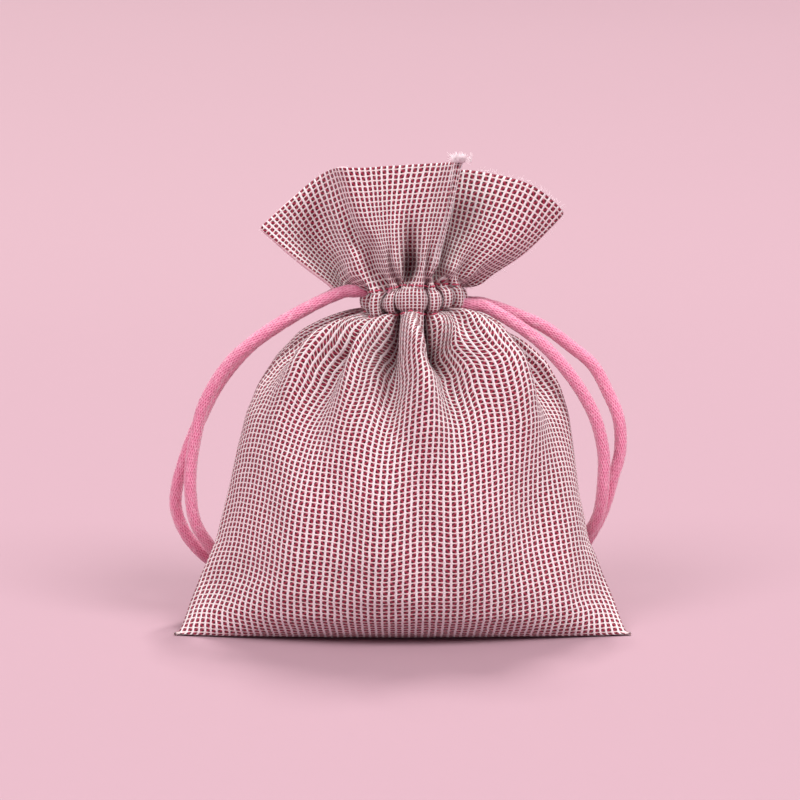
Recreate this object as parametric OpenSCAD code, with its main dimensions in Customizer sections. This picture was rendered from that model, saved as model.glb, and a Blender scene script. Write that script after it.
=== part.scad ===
// Drawstring gift pouch: two cloth panels sewn at the sides and the bottom, a gathered cord casing
// at the neck, a ruffle of two free flaps above it, and two cords that leave at opposite sides.
// +Z is up, the front faces -Y, and the origin is the middle of the base on the surface it stands on.

/* [Pouch body] */
// Half the width of the base, from the middle to a corner
base_half_width = 64; // [58:1:70]
// Half the depth of the flat base
base_half_depth = 13; // [11:1:16]
// Largest half depth of the filled belly
belly_half_depth = 29; // [26:0.5:32]
// Thickness of the panel cloth
cloth_t = 0.9; // [0.7:0.1:1.2]
// Height of the gathers that run down from the neck
gather_depth = 1.1; // [0:0.1:1.4]

/* [Neck and casing] */
// Sideways place of the neck's middle
neck_x = 3; // [0:0.5:4]
// Outer radius of the gathered neck
neck_r = 14; // [13.5:0.1:15]
// Radius of the passage through the neck
passage_r = 7; // [6:0.5:7]
// Height of the casing's lower edge
casing_z = 90; // [88:0.5:92]
// Height of the casing from edge to edge
casing_h = 9.4; // [9.2:0.1:10]
// Thickness of the casing cloth
casing_t = 0.7; // [0.5:0.1:0.8]
// Half the angle of each side opening where a cord leaves
exit_half_angle = 27; // [26:1:30]

/* [Ruffle flaps] */
// Height of the ruffle's highest edge above the base
ruffle_top_z = 133; // [128:1:138]
// Thickness of the doubled flap cloth
flap_t = 1.6; // [1.2:0.1:1.8]
// Half the width across the ruffle's two tips
ruffle_half_width = 41; // [38:1:44]
// Depth of the ruffle's folds
fold_depth = 5.5; // [3:0.5:6]

/* [Cords] */
// Diameter of each cord
cord_d = 3.6; // [3.2:0.1:3.6]
// Distance from the neck's middle plane to each cord strand at the exit
strand_y = 3.6; // [3.4:0.1:3.8]

/* [Stitching] */
// Length of one stitch
stitch_l = 2.6; // [2:0.1:3]
// Distance from one stitch to the next
stitch_pitch = 4; // [3.6:0.1:5]
// Thickness of the sewing thread
thread_t = 0.35; // [0.3:0.05:0.5]
// Width of the seam allowance inside the pouch
seam_allowance = 5; // [4:0.5:6]

/* [Hidden] */

cloth_color = "lightpink";
thread_color = "crimson";
cord_color = "hotpink";

casing_top = casing_z + casing_h;
right_cord_z = casing_z + casing_t + cord_d / 2 + 0.1;
left_cord_z = right_cord_z + cord_d + 0.2;
channel_mid_r = (passage_r + neck_r) / 2;
run_gap_angle = 48;
lead_inner_x = 8;
lead_outer_x = 18;
joint_gap = 0.9;
flap_gap = 0.6;
flap_base_r = neck_r - 1;
flap_base_angle = 72;
seam_clear = 0.2;
panel_columns = 32;
rows_per_station = 2;
flap_columns = 30;
flap_rows = 8;
tube_sides = 8;
knot_r = 4.6;
knot_end_l = 12;
knot_end_y = 2;
knot_end_z = -1.4;

// Body sections: height, half width, half depth, sideways place of the middle.
body_stations = [
  [0, base_half_width, base_half_depth, 0],
  [6, base_half_width - 3, belly_half_depth - 8, 0],
  [14, base_half_width - 6.5, belly_half_depth - 2.5, 0],
  [26, base_half_width - 11, belly_half_depth, 0.5],
  [44, base_half_width - 15, belly_half_depth, 1],
  [60, base_half_width - 18, belly_half_depth - 2.5, 1.5],
  [71, 42.5, 23.5, 2],
  [79, 37, 20.5, 2.5],
  [85, 29, 17.5, neck_x],
  [casing_z, neck_r - 0.6, neck_r - 0.8, neck_x],
];

// Cord routes as round numbers, from the exit to the knot that lies behind the pouch.
left_knot_at = [-13, 41, 4.7];
right_knot_at = [16, 42, 4.7];
left_front_route = [
  [-26, -4, 92], [-35, -5, 87], [-42, -5, 82], [-47.5, -4, 77], [-52, -3, 71], [-55.5, -2, 64.5],
  [-57.5, -1, 58], [-59.5, 0, 48], [-60, 1, 39], [-59, 3, 30], [-55.5, 8, 22], [-51.5, 15, 14.5],
  [-45.5, 23, 8], [-38, 30, 3.5], [-29, 35, 2], [-21, 38, 2.4], [-16, 39, 3.4],
];
left_back_route = [
  [-26.5, 5, 91], [-35.5, 6, 85.5], [-43, 7, 80], [-49, 7, 73.5], [-53.5, 7, 67], [-57, 6, 60],
  [-60, 6, 53.5], [-62.5, 6, 46.5], [-64.5, 7, 39.5], [-65, 8, 33], [-63, 10, 26], [-59.5, 13, 20],
  [-55, 18, 14.5], [-50, 25, 9.5], [-43.5, 33, 5], [-35, 39, 2.6], [-26, 43.5, 2], [-16, 43, 3.4],
];
right_front_route = [
  [31, -4, 87.5], [38.5, -5, 82], [45.5, -5, 74.5], [51, -4, 66.5], [54.5, -3, 59], [56.5, -2, 50],
  [56.5, -1, 41], [56, 2, 33.5], [54.5, 6, 28], [51.5, 13, 21.5], [47.5, 21, 14.5], [42.5, 28.5, 8],
  [36.5, 34, 3.6], [29, 38, 2], [19, 40, 3.4],
];
right_back_route = [
  [31, 5, 89.5], [40, 6, 85.5], [47.5, 7, 80], [54, 7, 74.5], [58.5, 7, 66.5], [61.5, 6, 59],
  [62, 6, 50], [60, 6, 42], [58.5, 8, 35], [57, 11, 29.5], [55, 15, 24], [52.5, 21, 17.5],
  [48.5, 29, 11], [43, 36, 6], [36, 41, 3], [28, 44.5, 2], [19, 44, 3.4],
];

function smooth_step(t) = let (k = max(0, min(1, t))) k * k * (3 - 2 * k);
function quad(a, b, c, d) = [[a, b, c], [a, c, d]];
// The same four corners cut along the other diagonal where flip is true.
function cut_quad(a, b, c, d, flip) = flip ? quad(b, c, d, a) : quad(a, b, c, d);
function unit(v) = v / norm(v);

// Catmull-Rom value between b and c at t from 0 to 1.
function spline(a, b, c, d, t) =
  0.5 * (2 * b + (c - a) * t + (2 * a - 5 * b + 4 * c - d) * t * t + (3 * b - a - 3 * c + d) * t * t * t);

// The body section at a place along the stations, counted in stations from the base.
function body_section(place) =
  let (
    last = len(body_stations) - 1,
    i = min(floor(place), last - 1),
    a = body_stations[max(i - 1, 0)],
    b = body_stations[i],
    c = body_stations[i + 1],
    d = body_stations[min(i + 2, last)]
  ) spline(a, b, c, d, place - i);

// Half width of the body at a height, from the stations alone.
function half_width_at(z) = lookup(z, [for (s = body_stations) [s[0], s[1]]]);
function middle_at(z) = lookup(z, [for (s = body_stations) [s[0], s[3]]]);

// One row of the front panel, set inwards by inset; turn runs from the left seam to the right one.
function panel_row(section, inset) =
  let (
    z = section[0] + inset * (1 - section[0] / casing_z),
    edge = smooth_step(section[0] / 60),
    depth_power = 1.15 - 0.15 * edge,
    ripple = gather_depth * smooth_step((section[0] - 60) / 25)
  ) [
    for (i = [0 : panel_columns])
      let (
        turn = 180 * i / panel_columns,
        wave = ripple * cos(12 * turn) * sin(turn)
      ) [
        section[3] - (section[1] - inset + wave) * cos(turn),
        -(section[2] - inset + wave) * pow(sin(turn), depth_power),
        z,
      ]
  ];

// The row along the bottom seam, under the middle of the pouch.
function seam_row(inset) = [
  for (i = [0 : panel_columns])
    [-(base_half_width - 1 - inset) * cos(180 * i / panel_columns), 0, inset],
];

function panel_grid(inset) = concat(
  [seam_row(inset)],
  [
    for (i = [0 : rows_per_station * (len(body_stations) - 1)])
      panel_row(body_section(i / rows_per_station), inset),
  ]
);

// One row of the front flap; across runs from -1 at the left tip to 1 at the right tip.
function flap_row(rise, inset) = [
  for (i = [0 : flap_columns])
    let (
      across = 2 * i / flap_columns - 1,
      angle = flap_base_angle * across,
      low = [
        neck_x + (flap_base_r - inset) * sin(angle),
        -(flap_base_r - inset) * cos(angle),
        casing_top + flap_gap,
      ],
      lean = 2.5 * across,
      high = [
        neck_x + ruffle_half_width * across - inset * lean / 3,
        inset - 11 - fold_depth * cos(540 * across),
        ruffle_top_z - 16 * pow(abs(across), 2.4) + lean,
      ],
      side = 1 - pow(1 - rise, 1.5)
    ) [
      low[0] + (high[0] - low[0]) * side,
      low[1] + (high[1] - low[1]) * smooth_step(rise),
      low[2] + (high[2] - low[2]) * rise,
    ],
];

function flap_grid(inset) = [for (j = [0 : flap_rows]) flap_row(j / flap_rows, inset)];

// A closed sheet between an outer and an inner grid of points, rows going up and columns going right.
module thick_patch(outer, inner) {
  columns = len(outer[0]);
  top = len(outer) - 1;
  right = columns - 1;
  shift = len(outer) * columns;
  points = concat([for (row = outer) each row], [for (row = inner) each row]);
  function at(r, c) = r * columns + c;
  faces = concat(
    [
      for (r = [0 : top - 1], c = [0 : right - 1])
        each cut_quad(at(r, c), at(r + 1, c), at(r + 1, c + 1), at(r, c + 1), 2 * c >= right),
    ],
    [
      for (r = [0 : top - 1], c = [0 : right - 1])
        each cut_quad(
          shift + at(r, c), shift + at(r, c + 1), shift + at(r + 1, c + 1), shift + at(r + 1, c),
          2 * c >= right
        ),
    ],
    [
      for (c = [0 : right - 1])
        each concat(
          quad(at(0, c), at(0, c + 1), shift + at(0, c + 1), shift + at(0, c)),
          quad(at(top, c + 1), at(top, c), shift + at(top, c), shift + at(top, c + 1))
        ),
    ],
    [
      for (r = [0 : top - 1])
        each concat(
          quad(at(r + 1, 0), at(r, 0), shift + at(r, 0), shift + at(r + 1, 0)),
          quad(at(r, right), at(r + 1, right), shift + at(r + 1, right), shift + at(r, right))
        ),
    ]
  );
  polyhedron(points = points, faces = faces, convexity = 6);
}

// A tube of flat-sided rings along a route, closed at both ends.
module tube(route, radius) {
  last = len(route) - 1;
  rings = [
    for (i = [0 : last])
      let (
        along = unit(route[min(i + 1, last)] - route[max(i - 1, 0)]),
        across = unit(cross(along, [0, 1, 0])),
        other = cross(along, across)
      )
        for (k = [0 : tube_sides - 1])
          route[i] + radius * (cos(360 * k / tube_sides) * across + sin(360 * k / tube_sides) * other),
  ];
  function ring_at(i, k) = i * tube_sides + k % tube_sides;
  faces = concat(
    [
      for (i = [0 : last - 1], k = [0 : tube_sides - 1])
        each quad(ring_at(i, k), ring_at(i + 1, k), ring_at(i + 1, k + 1), ring_at(i, k + 1)),
    ],
    [[for (k = [0 : tube_sides - 1]) ring_at(0, k)]],
    [[for (k = [tube_sides - 1 : -1 : 0]) ring_at(last, k)]]
  );
  polyhedron(points = rings, faces = faces, convexity = 6);
}

module front_panel() {
  color(cloth_color) thick_patch(panel_grid(0), panel_grid(cloth_t));
}

module back_panel() {
  color(cloth_color) mirror([0, 1, 0]) thick_patch(panel_grid(0), panel_grid(cloth_t));
}

// The doubled cloth edge inside a side seam; side is -1 on the left and 1 on the right.
module side_seam_allowance(side) {
  heights = [3, 8, 14, 26, 44, 60, 71, 79];
  outer_edge = [
    for (z = heights) [middle_at(z) + side * (half_width_at(z) - cloth_t - seam_clear - 0.4), z],
  ];
  inner_edge = [for (p = outer_edge) [p[0] - side * seam_allowance, p[1]]];
  backwards = [for (i = [len(inner_edge) - 1 : -1 : 0]) inner_edge[i]];
  color(cloth_color)
    rotate([90, 0, 0])
      linear_extrude(height = 2 * casing_t, center = true)
        polygon(concat(outer_edge, backwards));
}

module bottom_seam_allowance() {
  half = base_half_width - seam_allowance - 8;
  color(cloth_color)
    translate([-half, -casing_t, cloth_t])
      cube([2 * half, 2 * casing_t, seam_allowance]);
}

// Stitches on the front face of a side seam allowance.
module side_seam_stitches(side) {
  color(thread_color)
    for (z = [5 : stitch_pitch : 76])
      let (
        low = middle_at(z) + side * half_width_at(z),
        high = middle_at(z + stitch_l) + side * half_width_at(z + stitch_l)
      )
        translate([low - side * (cloth_t + 2.8), -casing_t - thread_t, z])
          rotate([0, atan2(high - low, stitch_l), 0])
            cube([thread_t, thread_t, stitch_l]);
}

module bottom_seam_stitches() {
  reach = base_half_width - seam_allowance - 11;
  color(thread_color)
    for (x = [-reach : stitch_pitch : reach - stitch_l])
      translate([x, -casing_t - thread_t, cloth_t + 2])
        cube([stitch_l, thread_t, thread_t]);
}

// Half of the closed channel around the neck, open at both ends; start is its first angle.
module casing(start) {
  color(cloth_color)
    translate([neck_x, 0, casing_z])
      rotate([0, 0, start + exit_half_angle])
        rotate_extrude(angle = 180 - 2 * exit_half_angle, $fn = 96)
          difference() {
            translate([passage_r, 0]) square([neck_r - passage_r, casing_h]);
            translate([passage_r + casing_t, casing_t])
              square([neck_r - passage_r - 2 * casing_t, casing_h - 2 * casing_t]);
          }
}

// A row of stitches on the casing's outer face; start is the first angle and z the row's height.
module casing_stitches(start, z) {
  count = 12;
  span = 180 - 2 * exit_half_angle - 2;
  color(thread_color)
    translate([neck_x, 0, z])
      for (i = [0 : count - 1])
        rotate([0, 0, start + exit_half_angle + 2 + i * span / count])
          rotate_extrude(angle = 0.6 * span / count, $fn = 96)
            translate([neck_r, 0]) square([thread_t, thread_t]);
}

module front_flap() {
  color(cloth_color) thick_patch(flap_grid(0), flap_grid(flap_t));
}

module back_flap() {
  color(cloth_color) mirror([0, 1, 0]) thick_patch(flap_grid(0), flap_grid(flap_t));
}

// The stretch of one cord inside the channel, from its front lead round the far side to its back lead.
module channel_run(start, z) {
  color(cord_color)
    translate([neck_x, 0, z])
      rotate([0, 0, start + run_gap_angle])
        rotate_extrude(angle = 360 - 2 * run_gap_angle, $fn = 96)
          translate([channel_mid_r, 0]) circle(d = cord_d, $fn = 32);
}

// A straight cord end that slides out of the channel; side is -1 on the left, face is -1 at the front.
module cord_lead(side, face, z) {
  color(cord_color)
    translate([neck_x + side * lead_inner_x, face * strand_y, z])
      rotate([0, side * 90, 0])
        cylinder(h = lead_outer_x - lead_inner_x, d = cord_d, $fn = 32);
}

// The free cord from the lead to the knot.
module cord_tail(side, face, z, route) {
  start = [neck_x + side * (lead_outer_x + joint_gap), face * strand_y, z];
  color(cord_color) tube(concat([start, start + side * [4, 0, 0]], route), cord_d / 2);
}

// Both ends of a cord tied together, with two short ends beyond the knot; side is -1 on the left.
module cord_knot(side, at) {
  color(cord_color)
    translate(at) {
      sphere(r = knot_r, $fn = 48);
      for (face = [-1, 1])
        translate([0, face * knot_end_y, knot_end_z])
          rotate([0, -side * 90, 0])
            cylinder(h = knot_end_l, d = cord_d, $fn = 32);
    }
}

front_panel();
back_panel();
side_seam_allowance(-1);  // left_seam_allowance
side_seam_allowance(1);  // right_seam_allowance
bottom_seam_allowance();
side_seam_stitches(-1);  // left_seam_stitches
side_seam_stitches(1);  // right_seam_stitches
bottom_seam_stitches();
casing(180);  // front_casing
casing(0);  // back_casing
casing_stitches(180, casing_top - 0.8);  // front_casing_upper_stitches
casing_stitches(180, casing_z + 0.4);  // front_casing_lower_stitches
casing_stitches(0, casing_top - 0.8);  // back_casing_upper_stitches
casing_stitches(0, casing_z + 0.4);  // back_casing_lower_stitches
front_flap();
back_flap();
channel_run(180, left_cord_z);  // left_cord_channel_run
channel_run(0, right_cord_z);  // right_cord_channel_run
cord_lead(-1, -1, left_cord_z);  // left_cord_front_lead
cord_lead(-1, 1, left_cord_z);  // left_cord_back_lead
cord_lead(1, -1, right_cord_z);  // right_cord_front_lead
cord_lead(1, 1, right_cord_z);  // right_cord_back_lead
cord_tail(-1, -1, left_cord_z, left_front_route);  // left_cord_front_tail
cord_tail(-1, 1, left_cord_z, left_back_route);  // left_cord_back_tail
cord_tail(1, -1, right_cord_z, right_front_route);  // right_cord_front_tail
cord_tail(1, 1, right_cord_z, right_back_route);  // right_cord_back_tail
cord_knot(-1, left_knot_at);  // left_cord_knot
cord_knot(1, right_knot_at);  // right_cord_knot
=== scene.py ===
import math
import random

import bmesh
import bpy
import numpy as np
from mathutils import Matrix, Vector


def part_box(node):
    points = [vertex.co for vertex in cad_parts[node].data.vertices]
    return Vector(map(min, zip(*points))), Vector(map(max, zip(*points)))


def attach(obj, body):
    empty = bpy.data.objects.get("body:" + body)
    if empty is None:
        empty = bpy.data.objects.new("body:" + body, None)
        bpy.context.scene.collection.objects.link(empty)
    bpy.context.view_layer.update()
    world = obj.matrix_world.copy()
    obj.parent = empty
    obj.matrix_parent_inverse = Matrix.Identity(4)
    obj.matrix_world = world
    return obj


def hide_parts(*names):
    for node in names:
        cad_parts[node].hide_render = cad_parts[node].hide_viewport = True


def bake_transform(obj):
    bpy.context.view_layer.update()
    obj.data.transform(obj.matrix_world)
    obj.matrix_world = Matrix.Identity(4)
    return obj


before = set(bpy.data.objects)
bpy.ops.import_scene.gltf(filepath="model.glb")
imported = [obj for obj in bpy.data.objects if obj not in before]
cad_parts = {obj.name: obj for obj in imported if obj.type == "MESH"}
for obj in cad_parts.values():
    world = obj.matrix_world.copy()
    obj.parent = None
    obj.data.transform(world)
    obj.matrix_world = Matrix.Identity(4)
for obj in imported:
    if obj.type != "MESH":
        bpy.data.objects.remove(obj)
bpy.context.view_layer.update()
print("frame loaded")

mm = 0.001
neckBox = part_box("front_casing")
neckX = (neckBox[0].x + neckBox[1].x) / 2 / mm  # sideways place of the neck, in mm


def deselectAll():
    bpy.ops.object.select_all(action="DESELECT")


def makeActive(obj):
    deselectAll()
    obj.select_set(True)
    bpy.context.view_layer.objects.active = obj


def applyModifiers(obj):
    makeActive(obj)
    for modifier in list(obj.modifiers):
        bpy.ops.object.modifier_apply(modifier=modifier.name)


def meshObject(name, points, faces):
    mesh = bpy.data.meshes.new(name)
    mesh.from_pydata([tuple(map(float, p)) for p in points], [], faces)
    mesh.update()
    obj = bpy.data.objects.new(name, mesh)
    bpy.context.scene.collection.objects.link(obj)
    return obj


def smoothShade(obj):
    for polygon in obj.data.polygons:
        polygon.use_smooth = True


def settle(piece, body, node):  # the piece rides on a body and stands for a node of the frame
    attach(piece, body)
    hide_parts(node)


def smoothStep(t):
    k = np.clip(t, 0, 1)
    return k * k * (3 - 2 * k)


def roundCurve(points, steps=12):  # Catmull-Rom curve through the points
    p = np.array(points, float)
    p = np.vstack([2 * p[0] - p[1], p, 2 * p[-1] - p[-2]])
    out = []
    for i in range(1, len(p) - 2):
        for t in np.linspace(0, 1, steps, endpoint=False):
            a, b, c, d = p[i - 1 : i + 3]
            bend = 2 * a - 5 * b + 4 * c - d
            out.append(0.5 * (2 * b + (c - a) * t + bend * t * t + (3 * b - a - 3 * c + d) * t**3))
    out.append(p[-2])
    return np.array(out)


def atShares(curve, shares):  # points at shares of the curve's length
    step = np.linalg.norm(np.diff(curve, axis=0), axis=1)
    run = np.concatenate([[0], np.cumsum(step)]) / step.sum()
    return np.stack([np.interp(shares, run, curve[:, k]) for k in range(curve.shape[1])], axis=-1)


def smoothThrough(keys, values, at):  # smooth values between keys that are not evenly spaced
    keys, values, at = np.array(keys, float), np.array(values, float), np.array(at, float)
    slope = np.gradient(values, keys, axis=0)
    i = np.clip(np.searchsorted(keys, at, side="right") - 1, 0, len(keys) - 2)
    gap = (keys[i + 1] - keys[i]).reshape(-1, *[1] * (values.ndim - 1))
    t = (at - keys[i]).reshape(gap.shape) / gap
    first, last = values[i], values[i + 1]
    return (
        (2 * t**3 - 3 * t**2 + 1) * first + (t**3 - 2 * t**2 + t) * gap * slope[i]
        + (3 * t**2 - 2 * t**3) * last + (t**3 - t**2) * gap * slope[i + 1]
    )


def curveLength(curve):
    return float(np.linalg.norm(np.diff(curve, axis=0), axis=1).sum())


def newGroup(name, inputs, outputs):
    group = bpy.data.node_groups.new(name, "ShaderNodeTree")
    for label, kind, value in inputs:
        socket = group.interface.new_socket(name=label, in_out="INPUT", socket_type=kind)
        if value is not None:
            socket.default_value = value
    for label, kind in outputs:
        group.interface.new_socket(name=label, in_out="OUTPUT", socket_type=kind)
    return group, group.nodes.new("NodeGroupInput"), group.nodes.new("NodeGroupOutput")


def mathNode(tree, operation, first, second=None):
    node = tree.nodes.new("ShaderNodeMath")
    node.operation = operation
    for i, value in enumerate((first, second)):
        if isinstance(value, (int, float)):
            node.inputs[i].default_value = value
        elif value is not None:
            tree.links.new(value, node.inputs[i])
    return node.outputs[0]


def mixColors(tree, factor, first, second, blend="MIX"):
    node = tree.nodes.new("ShaderNodeMix")
    node.data_type = "RGBA"
    node.blend_type = blend
    for socket, value in ((node.inputs[0], factor), (node.inputs[6], first), (node.inputs[7], second)):
        if isinstance(value, (int, float, tuple)):
            socket.default_value = value
        else:
            tree.links.new(value, socket)
    return node.outputs[2]


def ramp(tree, value, low, high):  # smooth 0 to 1 between low and high
    node = tree.nodes.new("ShaderNodeMapRange")
    node.interpolation_type = "SMOOTHSTEP"
    node.inputs[1].default_value = low
    node.inputs[2].default_value = high
    tree.links.new(value, node.inputs[0])
    return node.outputs[0]


studio = {
    "distance": 0.53,  # from the camera to the point it aims at, in m
    "lens": 85,
    "elevation": 8,  # degrees above the floor
    "aim": (-0.0007, 0, 0.0655),
    "nearColor": (0.40, 0.264, 0.306, 1),
    "farColor": (0.39, 0.268, 0.298, 1),
    "worldColor": (1.0, 0.94, 0.96, 1),
    "worldStrength": 0.48,
    "floorRadius": 0.9,
    "bend": 1.6,  # radius of the curve from the floor up to the wall
    "fade": (0.2, 2.6),  # distances between which the near color turns into the far one
    "fadeSlant": 0.6,
}
lamps = {  # direction the light comes from, strength, spread in degrees and color
    "leftLamp": ((-0.9, -1.0, 1.4), 1.5, 26, (1.0, 0.95, 0.97)),
    "rightLamp": ((1.0, -0.9, 1.4), 2.2, 26, (1.0, 0.97, 0.98)),
    "topLamp": ((0.1, 0.6, 1.5), 2.6, 14, (1.0, 0.98, 0.96)),
}


def pointAt(obj, place, target):
    obj.location = place
    obj.rotation_euler = (Vector(target) - Vector(place)).to_track_quat("-Z", "Y").to_euler()


def makeFloor():  # a round floor whose rim curves up into a low wall
    bend, reach = studio["bend"], studio["floorRadius"]
    turns = np.linspace(0, math.pi / 2, 14)
    profile = [(r, 0.0) for r in (0.05, 0.3, 0.8, reach)]
    profile += [(reach + bend * math.sin(t), bend * (1 - math.cos(t))) for t in turns[1:]]
    count = 96
    points, faces = [(0, 0, 0)], []
    for radius, height in profile:
        for k in range(count):
            angle = 2 * math.pi * k / count
            points.append((radius * math.cos(angle), radius * math.sin(angle), height))
    for k in range(count):
        n = (k + 1) % count
        faces.append((0, 1 + k, 1 + n))
        for i in range(len(profile) - 1):
            low, high = 1 + i * count, 1 + (i + 1) * count
            faces.append((low + k, high + k, high + n, low + n))
    floor = meshObject("studioFloor", points, faces)
    smoothShade(floor)
    paint = bpy.data.materials.new("floorPaint")
    paint.use_nodes = True
    tree = paint.node_tree
    shader = tree.nodes["Principled BSDF"]
    place = tree.nodes.new("ShaderNodeTexCoord")
    split = tree.nodes.new("ShaderNodeSeparateXYZ")
    tree.links.new(place.outputs["Object"], split.inputs[0])
    slant = mathNode(tree, "MULTIPLY", split.outputs[0], studio["fadeSlant"])
    far = mathNode(tree, "SUBTRACT", split.outputs[1], slant)
    color = mixColors(tree, ramp(tree, far, *studio["fade"]), studio["nearColor"], studio["farColor"])
    tree.links.new(color, shader.inputs["Base Color"])
    shader.inputs["Roughness"].default_value = 0.8
    shader.inputs["Specular IOR Level"].default_value = 0.1
    floor.data.materials.append(paint)


def makeStudio():
    bpy.ops.object.camera_add()
    camera = bpy.context.object
    camera.data.lens = studio["lens"]
    camera.data.clip_start = 0.01
    tilt = math.radians(studio["elevation"])
    back = Vector((0, -math.cos(tilt), math.sin(tilt))) * studio["distance"]
    pointAt(camera, Vector(studio["aim"]) + back, studio["aim"])
    bpy.context.scene.camera = camera
    bpy.context.scene.view_settings.view_transform = "Standard"
    makeFloor()
    world = bpy.data.worlds.new("studioWorld")
    bpy.context.scene.world = world
    world.use_nodes = True
    background = world.node_tree.nodes["Background"]
    background.inputs["Color"].default_value = studio["worldColor"]
    background.inputs["Strength"].default_value = studio["worldStrength"]
    for name, (place, strength, spread, color) in lamps.items():
        bpy.ops.object.light_add(type="SUN")
        lamp = bpy.context.object
        lamp.name = name
        lamp.data.energy = strength
        lamp.data.angle = math.radians(spread)
        lamp.data.color = color
        pointAt(lamp, place, (0, 0, 0))
    print("studio ready")


makeStudio()


weave = {
    "column": 1.82,  # from one warp thread to the next, in mm
    "row": 1.42,
    "halfWidth": 0.35,  # of a red block, as a share of its column
    "halfHeight": 0.40,
    "red": (0.28, 0.009, 0.036, 1),
    # painted shade: the darker red of each red block's shaded corners
    "shadedRed": (0.02, 0.001, 0.004, 1),
    # painted highlight: the lighter red of each red block's lit corners
    "litRed": (0.50, 0.12, 0.18, 1),
    "wornRed": (0.46, 0.09, 0.14, 1),
    "weft": (0.93, 0.80, 0.75, 1),
    "warp": (0.96, 0.97, 0.97, 1),
    # painted shade in the small gaps where warp and weft threads cross
    "gap": (0.42, 0.30, 0.31, 1),
    "dullThread": (0.84, 0.68, 0.71, 1),
    "duller": (0.93, 0.93, 0.93, 1),  # broad uneven tint of the whole cloth
    "clearer": (1.0, 0.98, 0.99, 1),
    "bump": 0.0002,
}


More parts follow.
